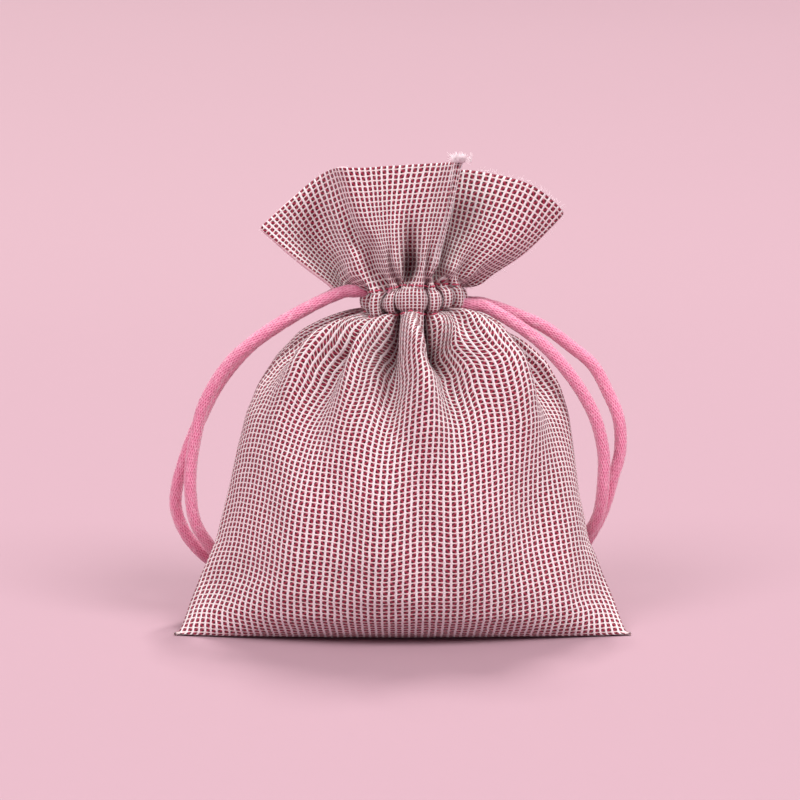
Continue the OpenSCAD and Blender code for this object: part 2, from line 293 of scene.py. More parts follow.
def makeCheckGroup():  # small red blocks between white warp and cream weft threads
    group, into, out = newGroup(
        "checkWeave",
        [
            ("Vector", "NodeSocketVector", None),
            ("Column", "NodeSocketFloat", weave["column"]),
            ("Row", "NodeSocketFloat", weave["row"]),
        ],
        [("Color", "NodeSocketColor"), ("Height", "NodeSocketFloat"), ("Red", "NodeSocketFloat")],
    )
    split = group.nodes.new("ShaderNodeSeparateXYZ")
    group.links.new(into.outputs["Vector"], split.inputs[0])
    wobble = group.nodes.new("ShaderNodeTexNoise")
    wobble.inputs["Scale"].default_value = 0.35
    wobble.inputs["Detail"].default_value = 1
    group.links.new(into.outputs["Vector"], wobble.inputs["Vector"])
    drift = mathNode(group, "MULTIPLY", mathNode(group, "SUBTRACT", wobble.outputs["Fac"], 0.5), 0.5)
    x = mathNode(group, "DIVIDE", mathNode(group, "ADD", split.outputs[0], drift), into.outputs["Column"])
    y = mathNode(group, "DIVIDE", mathNode(group, "ADD", split.outputs[1], drift), into.outputs["Row"])
    fx = mathNode(group, "SUBTRACT", mathNode(group, "FRACT", x), 0.5)
    fy = mathNode(group, "SUBTRACT", mathNode(group, "FRACT", y), 0.5)
    ax = mathNode(group, "ABSOLUTE", fx)
    ay = mathNode(group, "ABSOLUTE", fy)
    cell = group.nodes.new("ShaderNodeCombineXYZ")
    group.links.new(mathNode(group, "FLOOR", x), cell.inputs[0])
    group.links.new(mathNode(group, "FLOOR", y), cell.inputs[1])
    chance = group.nodes.new("ShaderNodeTexWhiteNoise")
    chance.noise_dimensions = "3D"
    group.links.new(cell.outputs[0], chance.inputs["Vector"])
    jitter = mathNode(group, "MULTIPLY", mathNode(group, "SUBTRACT", chance.outputs["Value"], 0.5), 0.07)
    wide = mathNode(group, "POWER", mathNode(group, "DIVIDE", ax, weave["halfWidth"]), 4)
    tall = mathNode(group, "POWER", mathNode(group, "DIVIDE", ay, weave["halfHeight"]), 4)
    edge = mathNode(group, "ADD", mathNode(group, "ADD", wide, tall), jitter)
    red = mathNode(group, "SUBTRACT", 1, ramp(group, edge, 0.62, 1.15))
    turn = mathNode(group, "MULTIPLY", mathNode(group, "PINGPONG", mathNode(group, "FLOOR", y), 1), 2)
    slant = mathNode(group, "MULTIPLY", fx, mathNode(group, "SUBTRACT", turn, 1))
    across = mathNode(group, "ABSOLUTE", mathNode(group, "ADD", slant, fy))
    other = mathNode(group, "ABSOLUTE", mathNode(group, "SUBTRACT", slant, fy))
    # painted shade: each red block darkens towards one diagonal pair of its corners, as if those sides lay
    # in shade; the bump lowers them too
    dark = mathNode(group, "MULTIPLY", ramp(group, across, 0.10, 0.34), 0.9)
    fine = group.nodes.new("ShaderNodeTexNoise")
    fine.inputs["Scale"].default_value = 2.6
    fine.inputs["Detail"].default_value = 3
    group.links.new(into.outputs["Vector"], fine.inputs["Vector"])
    redThread = mixColors(group, dark, weave["red"], weave["shadedRed"])
    # painted highlight: each red block lightens towards its other diagonal pair of corners, as if lit
    light = mathNode(group, "MULTIPLY", ramp(group, other, 0.2, 0.5), 0.75)
    redThread = mixColors(group, light, redThread, weave["litRed"])
    redThread = mixColors(group, ramp(group, fine.outputs["Fac"], 0.5, 0.8), redThread, weave["wornRed"])
    warp = ramp(group, ax, 0.31, 0.38)
    pale = mixColors(group, warp, weave["weft"], weave["warp"])
    # painted shade: where warp and weft cross, the threads darken at random, as shade in the gaps between
    # them
    corner = mathNode(group, "MULTIPLY", ramp(group, ax, 0.30, 0.42), ramp(group, ay, 0.30, 0.42))
    gap = mathNode(group, "MULTIPLY", corner, mathNode(group, "MULTIPLY", chance.outputs["Value"], 0.35))
    pale = mixColors(group, gap, pale, weave["gap"])
    pale = mixColors(group, ramp(group, fine.outputs["Fac"], 0.52, 0.3), pale, weave["dullThread"])
    group.links.new(mixColors(group, red, pale, redThread), out.inputs["Color"])
    block = mathNode(group, "MULTIPLY", red, mathNode(group, "SUBTRACT", 0.85, dark))
    warpRound = mathNode(group, "MULTIPLY", ramp(group, ax, 0.32, 0.5), 1.0)
    weftRound = mathNode(group, "MULTIPLY", ramp(group, ay, 0.34, 0.5), 0.75)
    height = mathNode(group, "MAXIMUM", block, mathNode(group, "MAXIMUM", warpRound, weftRound))
    height = mathNode(group, "ADD", height, mathNode(group, "MULTIPLY", fine.outputs["Fac"], 0.35))
    group.links.new(height, out.inputs["Height"])
    group.links.new(red, out.inputs["Red"])
    return group


checkGroup = makeCheckGroup()


def makeClothMaterial():
    material = bpy.data.materials.new("checkCloth")
    material.use_nodes = True
    tree = material.node_tree
    shader = tree.nodes["Principled BSDF"]
    place = tree.nodes.new("ShaderNodeUVMap")
    place.uv_map = "flatPanel"
    scale = tree.nodes.new("ShaderNodeMapping")
    scale.inputs["Scale"].default_value = (1000, 1000, 1000)
    tree.links.new(place.outputs[0], scale.inputs["Vector"])
    check = tree.nodes.new("ShaderNodeGroup")
    check.node_tree = checkGroup
    tree.links.new(scale.outputs[0], check.inputs["Vector"])
    broad = tree.nodes.new("ShaderNodeTexNoise")
    broad.inputs["Scale"].default_value = 0.05
    broad.inputs["Detail"].default_value = 2
    tree.links.new(scale.outputs[0], broad.inputs["Vector"])
    tint = mixColors(tree, ramp(tree, broad.outputs["Fac"], 0.35, 0.7), weave["duller"], weave["clearer"])
    color = mixColors(tree, 1.0, check.outputs["Color"], tint, "MULTIPLY")
    tree.links.new(color, shader.inputs["Base Color"])
    rough = mathNode(tree, "SUBTRACT", 0.92, mathNode(tree, "MULTIPLY", check.outputs["Red"], 0.12))
    tree.links.new(rough, shader.inputs["Roughness"])
    shader.inputs["Sheen Weight"].default_value = 0.25
    shader.inputs["Sheen Roughness"].default_value = 0.5
    shader.inputs["Specular IOR Level"].default_value = 0.25
    bump = tree.nodes.new("ShaderNodeBump")
    bump.inputs["Strength"].default_value = 0.9
    bump.inputs["Distance"].default_value = weave["bump"]
    tree.links.new(check.outputs["Height"], bump.inputs["Height"])
    tree.links.new(bump.outputs[0], shader.inputs["Normal"])
    return material


clothMaterial = makeClothMaterial()


cordLook = {
    "strands": 16,
    "twist": 520,  # crossings of the braid for each metre of cord
    "fibresAround": 44,
    "fibreLean": 1300,  # how fast the fibres wind round the cord
    "fibreRun": 330,
    # painted shade in the braid's grooves and painted highlight on its raised strands
    "deep": (0.70, 0.12, 0.26, 1),
    "raisedLit": (0.92, 0.36, 0.52, 1),
    # the fibre streaks: the fibres' paler tone with painted sheen
    "fibreAndSheen": (0.98, 0.56, 0.68, 1),
    "bump": 0.00025,
}


def makeCordMaterial():
    material = bpy.data.materials.new("cordBraid")
    material.use_nodes = True
    tree = material.node_tree
    shader = tree.nodes["Principled BSDF"]
    place = tree.nodes.new("ShaderNodeUVMap")
    place.uv_map = "alongCord"
    split = tree.nodes.new("ShaderNodeSeparateXYZ")
    tree.links.new(place.outputs[0], split.inputs[0])
    turn = mathNode(tree, "MULTIPLY", split.outputs[0], cordLook["strands"] * 2 * math.pi)
    run = mathNode(tree, "MULTIPLY", split.outputs[1], cordLook["twist"] * 2 * math.pi)
    left = mathNode(tree, "SINE", mathNode(tree, "ADD", turn, run))
    right = mathNode(tree, "SINE", mathNode(tree, "SUBTRACT", turn, run))
    braid = mathNode(tree, "MAXIMUM", left, right)
    fibreAndSheen = tree.nodes.new("ShaderNodeTexNoise")
    fibreAndSheen.inputs["Scale"].default_value = 1.0
    fibreAndSheen.inputs["Detail"].default_value = 3
    streak = tree.nodes.new("ShaderNodeCombineXYZ")
    around = mathNode(tree, "MULTIPLY", split.outputs[0], cordLook["fibresAround"])
    lean = mathNode(tree, "MULTIPLY", split.outputs[1], cordLook["fibreLean"])
    tree.links.new(mathNode(tree, "ADD", around, lean), streak.inputs[0])
    tree.links.new(mathNode(tree, "MULTIPLY", split.outputs[1], cordLook["fibreRun"]), streak.inputs[1])
    tree.links.new(streak.outputs[0], fibreAndSheen.inputs["Vector"])
    # painted shade and highlight: the braid's grooves are coloured darker and its raised strands lighter
    thread = mixColors(tree, ramp(tree, braid, -0.6, 1.0), cordLook["deep"], cordLook["raisedLit"])
    # lighter fibre streaks along the cord: paler fibres and painted sheen
    thread = mixColors(tree, ramp(tree, fibreAndSheen.outputs["Fac"], 0.5, 0.75), thread, cordLook["fibreAndSheen"])
    tree.links.new(thread, shader.inputs["Base Color"])
    shader.inputs["Roughness"].default_value = 0.4
    shader.inputs["Sheen Weight"].default_value = 0.5
    shader.inputs["Sheen Roughness"].default_value = 0.4
    bump = tree.nodes.new("ShaderNodeBump")
    bump.inputs["Strength"].default_value = 0.8
    bump.inputs["Distance"].default_value = cordLook["bump"]
    low = mathNode(tree, "MULTIPLY", braid, 0.5)
    fine = mathNode(tree, "MULTIPLY", fibreAndSheen.outputs["Fac"], 1.6)
    tree.links.new(mathNode(tree, "ADD", low, fine), bump.inputs["Height"])
    tree.links.new(bump.outputs[0], shader.inputs["Normal"])
    return material


cordMaterial = makeCordMaterial()


def makeThreadMaterial(name, dark, light):
    material = bpy.data.materials.new(name)
    material.use_nodes = True
    tree = material.node_tree
    shader = tree.nodes["Principled BSDF"]
    place = tree.nodes.new("ShaderNodeTexCoord")
    noise = tree.nodes.new("ShaderNodeTexNoise")
    noise.inputs["Scale"].default_value = 2500
    tree.links.new(place.outputs["Object"], noise.inputs["Vector"])
    tree.links.new(mixColors(tree, noise.outputs["Fac"], dark, light), shader.inputs["Base Color"])
    shader.inputs["Roughness"].default_value = 0.7
    bump = tree.nodes.new("ShaderNodeBump")
    bump.inputs["Distance"].default_value = 0.00005
    tree.links.new(noise.outputs["Fac"], bump.inputs["Height"])
    tree.links.new(bump.outputs[0], shader.inputs["Normal"])
    return material


threadMaterial = makeThreadMaterial("redThread", (0.42, 0.03, 0.08, 1), (0.70, 0.12, 0.20, 1))
edgeMaterial = makeThreadMaterial("foldedEdge", (0.66, 0.36, 0.41, 1), (0.90, 0.78, 0.80, 1))
cordFibreMaterial = makeThreadMaterial("cordFibre", (0.66, 0.16, 0.30, 1), (0.88, 0.42, 0.55, 1))
fluffMaterial = makeThreadMaterial("looseFibre", (0.82, 0.70, 0.74, 1), (0.95, 0.90, 0.91, 1))
print("materials ready")


cord = {
    "diameter": 3.6,
    "sides": 24,
    "ring": 0.55,  # distance from ring to ring, in mm
    "strands": 6,
    "twist": 0.2,  # turns of a strand for each mm of cord
    "relief": 0.1,
    "hinge": 18.9,  # from the middle of the neck to where a free cord swings
    "bendFrom": -3,  # the bend's start and end, outwards from the hinge
    "bendTo": 6,
    "hidden": 14,  # nearer to the middle of the neck than this, a cord is inside the casing
    "channelRadius": 9.9,  # of the bend that a cord makes inside the casing
    "channelStrand": 1.5,
}
leftZ, rightZ = 96.4, 92.6  # heights of the two exits
cordRoutes = {  # from inside the casing to the knot behind the pouch, in mm
    "left_front_cord": [
        (-4, -2.2, 96.2), (-9, -3, 96.4), (-13, -3.6, leftZ), (-17, -3.6, 96),
        (-26, -4, 92), (-35, -5, 87), (-42, -5, 82), (-47.5, -4, 77), (-52, -3, 71), (-55.5, -2, 64.5),
        (-57.5, -1, 58), (-59.5, 0, 48), (-60, 1, 39), (-59, 3, 30), (-55.5, 8, 22), (-51.5, 15, 14.5),
        (-45.5, 23, 8), (-38, 30, 3.5), (-29, 35, 2), (-21, 38, 2.4), (-15, 39.2, 3.6),
    ],
    "left_back_cord": [
        (-4, 2.2, 96.2), (-9, 3, 96.4), (-13, 3.6, leftZ), (-17, 3.6, 95.8),
        (-26.5, 5, 91), (-35.5, 6, 85.5), (-43, 7, 80), (-49, 7, 73.5), (-53.5, 7, 67), (-57, 6, 60),
        (-60, 6, 53.5), (-62.5, 6, 46.5), (-64.5, 7, 39.5), (-65, 8, 33), (-63, 10, 26), (-59.5, 13, 20),
        (-55, 18, 14.5), (-50, 25, 9.5), (-43.5, 33, 5), (-35, 39, 2.6), (-26, 43.5, 2), (-15, 42.8, 3.6),
    ],
    "right_front_cord": [
        (10, -2.2, 92.6), (15, -3, 92.6), (19, -3.6, rightZ), (23, -3.6, 92),
        (31, -4, 87.5), (38.5, -5, 82), (45.5, -5, 74.5), (51, -4, 66.5), (54.5, -3, 59), (56.5, -2, 50),
        (56.5, -1, 41), (56, 2, 33.5), (54.5, 6, 28), (51.5, 13, 21.5), (47.5, 21, 14.5), (42.5, 28.5, 8),
        (36.5, 34, 3.6), (29, 38, 2), (18, 40.2, 3.6),
    ],
    "right_back_cord": [
        (10, 2.2, 92.6), (15, 3, 92.6), (19, 3.6, rightZ), (23, 3.6, 92.2),
        (31, 5, 89.5), (40, 6, 85.5), (47.5, 7, 80), (54, 7, 74.5), (58.5, 7, 66.5), (61.5, 6, 59),
        (62, 6, 50), (60, 6, 42), (58.5, 8, 35), (57, 11, 29.5), (55, 15, 24), (52.5, 21, 17.5),
        (48.5, 29, 11), (43, 36, 6), (36, 41, 3), (28, 44.5, 2), (18, 43.8, 3.6),
    ],
}


def turningFrames(line):  # tangent and two crossing directions at each point, without twist
    along = np.gradient(line, axis=0)
    along /= np.linalg.norm(along, axis=1)[:, None]
    side = np.cross(along[0], (0, 1, 0.1))
    sides = []
    for tangent in along:
        side = side - tangent * (side @ tangent)
        side /= np.linalg.norm(side)
        sides.append(side)
    sides = np.array(sides)
    return along, sides, np.cross(along, sides)


def braidedTube(name, line, radius):  # a round braid along the line, closed at both ends
    count = max(4, int(curveLength(line) / cord["ring"]))
    line = atShares(line, np.linspace(0, 1, count + 1))
    along, first, second = turningFrames(line)
    sides = cord["sides"]
    points, places = [], []
    run = np.linspace(0, curveLength(line), count + 1)
    for i in range(count + 1):
        for k in range(sides):
            angle = 2 * math.pi * k / sides
            phase = cord["twist"] * run[i] * 2 * math.pi
            lay = max(math.sin(cord["strands"] * angle + phase), math.sin(cord["strands"] * angle - phase))
            reach = radius - cord["relief"] + cord["relief"] * lay
            points.append(line[i] + reach * (math.cos(angle) * first[i] + math.sin(angle) * second[i]))
            places.append((k / sides, run[i] * mm))
    faces = []
    for i in range(count):
        for k in range(sides):
            n = (k + 1) % sides
            a, b = i * sides + k, i * sides + n
            faces.append((a, b, b + sides, a + sides))
    faces.append(tuple(range(sides))[::-1])
    faces.append(tuple(range(count * sides, (count + 1) * sides)))
    obj = meshObject(name, np.array(points) * mm, faces)
    layer = obj.data.uv_layers.new(name="alongCord")
    for polygon in obj.data.polygons:
        columns = [obj.data.loops[i].vertex_index % sides for i in polygon.loop_indices]
        wraps = max(columns) - min(columns) > sides / 2
        for loopIndex in polygon.loop_indices:
            vertex = obj.data.loops[loopIndex].vertex_index
            u, v = places[vertex]
            if wraps and u < 0.5:
                u += 1
            layer.data[loopIndex].uv = (u, v)
    smoothShade(obj)
    obj.data.materials.append(cordMaterial)
    return obj, line


def makeCords():
    made = {}
    for name, points in cordRoutes.items():
        made[name] = braidedTube(name, roundCurve(points), cord["diameter"] / 2)
    print("cords made")
    return made


cords = makeCords()


cloth = {
    "width": 130.0,  # flat panel, in mm
    "height": 160.0,
    "casingStart": 160 * 68 / 96,  # along the flat panel from the bottom seam
    "casingEnd": 160 * 74 / 96,
    "columns": 78,
    "rows": 96,
    "frames": 16,
    "pressure": 1.0,
    "bending": 60.0,
    "pinch": 0.3,  # how far the side seams are drawn to an edge
    "spare": 0.975,  # share of the width that the settled body takes up
    "baseHalfWidth": 65.6,
    "seamPlace": -11.5,  # how far back the bottom seam lies in its middle
    "seamCurve": 2.5,  # and how much further back at its ends
    "scale": 10.0,  # the simulation runs on a model ten times as large
    "panelThickness": 0.7,
    "flapThickness": 1.0,
    "casingLow": 91.6,  # heights of the two stitch rows once gathered
    "casingHigh": 97.6,
    "gatherRadius": 9.8,
    "casingRadius": 12.0,  # the cords inside fill the casing out to this
    "puff": 0.9,
    "droopReach": 11,  # along the flat panel from the middle of the casing
    "pinFrom": 80,  # the stiff gathers of the shoulders start here on the flat panel
    "pinRise": 20,
    "pinShare": 0.7,
    "floorGap": 0.1,
    "ruffleBend": 9,  # the tilt of a flap is spread over this height above the casing
}

shoulder = {  # heights in mm
    "pinchTo": 70,  # the side seams are drawn to an edge up to here
    "pinchFade": 20,
    "gathersFrom": 79,  # the small folds of the casing start here
    "giveFrom": 56,  # below this each thread keeps its length
    "even": 0.4,  # how far the cloth spreads evenly along a folded row
    "evenFrom": 45,
    "evenRise": 25,
    "evenTo": 84,
    "evenFall": 7.6,
}

# The plain body: height, half width, front and back of the belly, side seam's depth, sideways middle.
bodyProfile = np.array([
    (0, 63.4, -13, 9, -9, 0), (3, 62.2, -18, 16, -6, 0), (8, 60.6, -23.5, 22, -2.5, 0),
    (15, 57.6, -27, 27, -0.6, 0), (26, 53.4, -29.5, 29.5, 0, 0.3), (40, 50.0, -30, 30, 0, 0.6),
    (52, 47.8, -29, 29, 0, 1.0),
    (62, 45.6, -27.5, 27.5, 0, 1.5), (70, 42.6, -25.5, 25.5, 0, 2.0), (77, 38.0, -23.5, 23.5, 0, 2.5),
    (83, 31.0, -20.5, 20.5, 0, 2.8), (87, 22.5, -17, 17, 0, 3.0), (89.6, 16, -13.5, 13.5, 0, 3.0),
    (cloth["casingLow"], 11.0, -10.5, 10.5, 0, 3.0),
])

# Folds of the shoulders: how far each share of the panel's width lies outside the plain body.
foldShares = (0, 0.08, 0.17, 0.26, 0.345, 0.455, 0.55, 0.605, 0.68, 0.80, 0.90, 1)
foldHeights = (0, 50, 64, 75, 85, 89.5, cloth["casingLow"])
foldShifts = (0, 0, 0, 0.01, 0.04, 0.06, 0.06)  # the middle folds lean to the left as they rise
frontFolds = (
    (0,) * 12,
    (0,) * 12,
    (0, 0, 0, -3, 2, -4, 4.5, -2, 0.5, 4, -2.5, 0),
    (0, -1, 3, -6, 4.5, -9, 7, -7.5, 1, 7, -6, 0),
    (0, -2.5, 4.5, -6, 4.5, -12, 7, -12.5, 1.5, 5.5, -5.5, 0),
    (0, -1, 2, -3, 2, -8.5, 2.5, -9.5, 1, 2.5, -3, 0),
    (0,) * 12,
)
backFolds = (
    (0,) * 12,
    (0,) * 12,
    (0, 1, -1.5, 1, 2.5, -2.5, 2.5, 0, -2, 2, -1, 0),
    (0, 2, -3.5, 3, 4, -5, 5, 1.5, -4.5, 4.5, -3, 0),
    (0, 2, -4, 3, 3, -6, 4.5, 1.5, -5, 4, -3, 0),
    (0, 1, -2, 1, 1, -3, 2, 0.5, -2.5, 1.5, -1, 0),
    (0,) * 12,
)

# The gathered casing seen from above, from the left seam to the right one: share, x and y in mm.
frontCasing = np.array([
    (0, -6, -0.4), (0.04, -10.3, -3), (0.075, -4.2, -3.6), (0.115, -9.6, -7), (0.155, -3, -5.2),
    (0.195, -8.6, -10.2), (0.235, -6, -11.6), (0.275, -1.8, -5.2), (0.315, -3.4, -10.8),
    (0.345, -1.6, -11.8), (0.39, -0.4, -5.6), (0.435, -0.3, -13), (0.485, 2.8, -14.6),
    (0.53, 5.8, -13.6), (0.575, 5, -5.4), (0.615, 7, -12.2), (0.645, 9.4, -12.4), (0.69, 7.2, -4.6),
    (0.735, 10.4, -11), (0.765, 12.8, -9.8), (0.805, 8.2, -4), (0.845, 14.8, -8), (0.87, 16, -6),
    (0.905, 9.6, -2.8), (0.95, 16.6, -2.6), (1, 12, -0.4),
])
backCasing = np.array([
    (0, -6, 0.4), (0.05, -10.4, 3), (0.10, -3.2, 3), (0.16, -9, 7.6), (0.22, -1.8, 4.4),
    (0.29, -5.6, 11.4), (0.35, -0.4, 5), (0.41, -1.6, 13.4), (0.46, 2.2, 13.6), (0.51, 2.4, 5.2),
    (0.57, 5.8, 13), (0.62, 4.4, 5), (0.69, 10, 12.2), (0.75, 6.6, 4.6), (0.81, 13.6, 9),
    (0.86, 8.2, 3.8), (0.91, 16, 5), (0.95, 9.4, 2.2), (1, 12, 0.4),
])

# The gathers are not level: how far each share of the casing sits above its stitch rows' heights.
droopShares = (0, 0.2, 0.32, 0.485, 0.63, 0.77, 1)
frontDroop = (-0.6, -2.0, -0.9, 0.3, -0.4, 0.6, -0.4)
backDroop = (-0.6, 0.6, -1.0, 0.4, -0.8, 0.2, -0.4)

# The ruffle: for each share of the width, x, y, z in mm at four lengths up the flat panel.
ruffleLengths = (128.0, 134.5, 143.0, 160.0)
frontRuffle = {
    0: ((-16, -3, 96.2), (-20.4, -2.8, 98.8), (-27, -2.5, 103.6), (-39.5, -2, 113.8)),
    0.10: ((-14.6, -1, 99), (-18, 2.5, 103.6), (-23, 5, 109), (-31, 3, 121.4)),
    0.155: ((-12.8, -8, 100.6), (-15.6, -6.5, 105.4), (-19, 1, 111.5), (-25.6, 6.5, 126.2)),
    0.195: ((-10.8, -11.2, 101.4), (-13, -11.8, 106.2), (-15.8, -8, 112), (-21.4, 4, 129)),
    0.225: ((-8.6, -8.6, 102), (-10.6, -9, 107), (-13.4, -5.4, 113.4), (-19, -4, 130)),
    0.255: ((-6.8, -7, 102.4), (-8.8, -8, 107.6), (-12, -11, 114), (-17, -11, 130.4)),
    0.32: ((-4, -13, 102.6), (-5.6, -13.6, 108), (-7.4, -13, 114.4), (-10, -11.5, 130.4)),
    0.37: ((-2.4, -10.4, 102.6), (-3.6, -11.6, 108.2), (-4.4, -11.4, 114.6), (-4.6, -9, 130.8)),
    0.41: ((-0.8, -13.4, 102.6), (-1.4, -13.2, 108.2), (-1.6, -11.4, 114.8), (0.4, -6.8, 131)),
    0.43: ((0.5, -3, 102), (0.3, -6.5, 108), (0.2, -9.4, 114.8), (2.8, -6.2, 131.2)),
    0.45: ((1.9, 2.5, 101.4), (2, -1.5, 107.8), (2, -6.6, 114.8), (5.2, -6, 131.3)),
    0.47: ((3.5, -3, 102), (3.8, -6.5, 108), (4, -8.6, 115), (7.6, -6.8, 131.5)),
    0.49: ((4.7, -13.6, 102.6), (5.4, -13, 108.3), (6, -10.8, 115.2), (9.8, -8.4, 131.6)),
    0.535: ((6.2, -11, 102.6), (7.6, -12, 108.4), (9.2, -13, 115.4), (13, -12.4, 131.9)),
    0.58: ((8.6, -15.2, 102.6), (10.2, -15.8, 108.4), (12.2, -16.4, 115.4), (15.8, -16.5, 132.3)),
    0.625: ((8.2, -7.5, 102.4), (9.2, -8, 108.2), (10.4, -9, 115.2), (12.6, -9, 131.2)),
    0.67: ((6.8, -0.5, 102), (8, -1, 107.8), (8.6, -2, 114.5), (9, -4, 130.4)),
    0.715: ((8.8, 0, 102), (10.6, 0.5, 107.4), (11.6, 1.5, 114), (12.8, 2.5, 129.4)),
    0.76: ((11.2, -8.6, 101.8), (12.6, -6, 107), (14.6, -2.4, 113.2), (18, 0.5, 129.6)),
    0.81: ((13.4, -12, 101.2), (15.6, -10.6, 106), (18.8, -8.4, 112.2), (24.5, -3.6, 128.6)),
    0.855: ((14.6, -6.4, 100.6), (17.6, -7.6, 105), (22.2, -8.8, 111), (30.2, -7, 127.4)),
    0.905: ((17.2, -7.6, 99.8), (21, -8.6, 103.6), (26.6, -9, 109), (35.5, -8.5, 125.4)),
    0.95: ((17.6, -2.6, 99), (22.4, -5, 102.2), (29.6, -7, 107.2), (40.4, -7.6, 122)),
    1: ((19.6, -2.6, 97.6), (25, -3.2, 101), (32.4, -4, 106), (44.5, -5, 117.8)),
}
backRuffle = {
    0: ((-16, 2, 96.6), (-20, 2, 99.4), (-26.4, 2.4, 103.2), (-38.5, 4, 112)),
    0.08: ((-15, 8, 98.6), (-18.6, 9.6, 102.4), (-23.6, 11, 107.4), (-33.4, 12, 118)),
    0.14: ((-12.4, 4.6, 100), (-16, 7, 104), (-20.4, 11, 110), (-28, 17, 122.4)),
    0.20: ((-11.8, 12, 100.8), (-14.4, 14.4, 105.4), (-17.4, 17, 111.4), (-22.4, 18, 126)),
    0.26: ((-7.4, 5, 101.6), (-9.8, 6.4, 106.4), (-12.6, 8.6, 112.4), (-15.8, 12, 127.4)),
    0.33: ((-6.6, 13.4, 101.8), (-8.2, 13.6, 107), (-9.4, 12, 112.8), (-8.4, 9, 127.8)),
    0.40: ((-1.6, 6.4, 102), (-2, 8, 107.4), (-2.6, 10.4, 113.2), (-1, 13, 128.4)),
    0.47: ((1.4, 15, 102.2), (1.4, 17, 107.6), (1.6, 19, 113.4), (5, 20, 128.6)),
    0.53: ((3.8, 6, 102.2), (4.6, 8.4, 107.6), (5.4, 12.4, 113.4), (11.4, 16, 128.6)),
    0.60: ((8, 14.4, 102.2), (9.4, 14.4, 107.4), (11.2, 12.8, 113.2), (17, 9.6, 128.2)),
    0.67: ((9.2, 5.6, 102), (11.2, 6.8, 107), (13.8, 9, 112.8), (22.4, 10, 127.4)),
    0.74: ((13.2, 12.6, 101.6), (15.6, 14.6, 106.2), (18.8, 17, 111.6), (27.2, 16, 126.2)),
    0.81: ((12.6, 5, 101), (16, 7.4, 105), (21, 11.2, 110.4), (32.2, 18, 124.2)),
    0.88: ((17.4, 8.6, 100), (21, 10, 103.8), (26, 11.2, 108.8), (36.6, 15, 121)),
    0.94: ((17.2, 3, 98.8), (22, 5.6, 102), (29, 8, 106.4), (40.4, 9.6, 118.2)),
    1: ((19.6, 2, 97.6), (24.6, 2, 100.4), (32, 2.6, 104.8), (43.5, 4, 115.4)),
}


def gridNormals(grid, side):
    along = np.gradient(grid, axis=1)
    upward = np.gradient(grid, axis=0)
    normal = np.cross(along, upward) * -side
    return normal / np.maximum(np.linalg.norm(normal, axis=-1, keepdims=True), 1e-9)


def bodyGrid(side, shares, casing, folds):  # the pouch's body from the floor up to the lower stitch row
    heights = np.linspace(0, bodyProfile[-1, 0], 70)
    sizes = [np.interp(heights, bodyProfile[:, 0], bodyProfile[:, k]) for k in range(1, 6)]
    wide, front, back, seam, center = sizes
    deep = (front if side == -1 else back) - seam
    ring = np.radians(180 * (1 - shares))
    radius = cloth["gatherRadius"]
    circle = np.stack([neckX + radius * np.cos(ring), side * radius * np.sin(ring)], axis=-1)
    fine = casing - circle
    middle = np.exp(-(((shares - 0.5) / 0.2) ** 2))
    level = [
        smoothThrough(foldShares, np.array(row, float), shares + shift * middle)
        for row, shift in zip(folds, foldShifts)
    ]
    push = smoothThrough(foldHeights, level, heights)
    body = np.zeros((len(heights), len(shares), 3))
    for i, z in enumerate(heights):
        turn = np.linspace(math.pi, 0, 181)
        pinch = 1 + cloth["pinch"] * (1 - smoothStep((z - shoulder["pinchTo"]) / shoulder["pinchFade"]))
        sideways = center[i] + wide[i] * np.cos(turn)
        outwards = seam[i] + deep[i] * np.sin(turn) ** pinch
        body[i, :, :2] = atShares(np.stack([sideways, outwards], axis=-1), shares)
        body[i, :, 2] = z
    body += gridNormals(body, side) * push[:, :, None]
    low = shoulder["gathersFrom"]
    body[:, :, :2] += fine * smoothStep((heights - low) / (heights[-1] - low))[:, None, None]
    for i, z in enumerate(heights[:-1]):  # the cloth lies evenly along each folded row
        run = np.concatenate([[0], np.cumsum(np.linalg.norm(np.diff(body[i], axis=0), axis=1))])
        rising = smoothStep((z - shoulder["evenFrom"]) / shoulder["evenRise"])
        falling = smoothStep((z - shoulder["evenTo"]) / shoulder["evenFall"])
        even = shoulder["even"] * rising * (1 - falling)
        body[i] = atShares(body[i], (1 - even) * run / run[-1] + even * shares)
    body[-1, :, :2] = casing
    body[-1, :, 2] = cloth["casingLow"]
    return body


